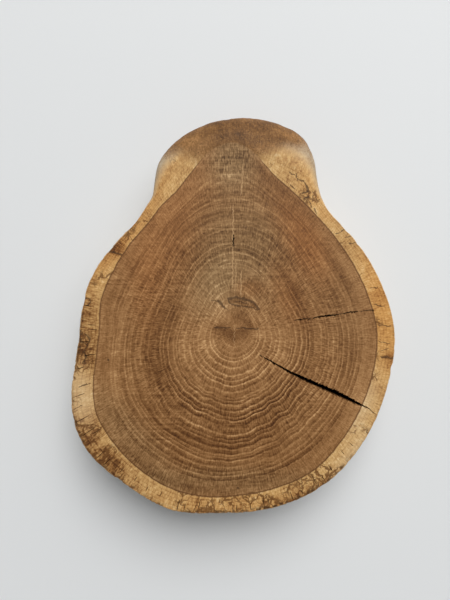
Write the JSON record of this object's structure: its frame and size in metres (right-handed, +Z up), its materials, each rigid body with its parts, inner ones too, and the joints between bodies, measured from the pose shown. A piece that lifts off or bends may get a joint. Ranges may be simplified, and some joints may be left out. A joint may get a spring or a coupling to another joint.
{
  "type": "oak wood slice",
  "caption": "Flat slice of oak trunk, sawn across the grain, with a rounded lobe at one end, for use as a board, stand or base for a display.",
  "frame": {"origin": "middle of the slice's box, on the lower sawn face that it lies on", "axes": "+Z up through the thickness, +Y along the slice from the broad end to the lobe, +X across it"},
  "size_m": [0.1936, 0.2436, 0.04],
  "materials": {
    "oak": "sanded end grain, unvarnished, with paler sapwood round the rim"
  },
  "bodies": {
    "root": {"oak_slice": "oak"}
  },
  "joints": []
}
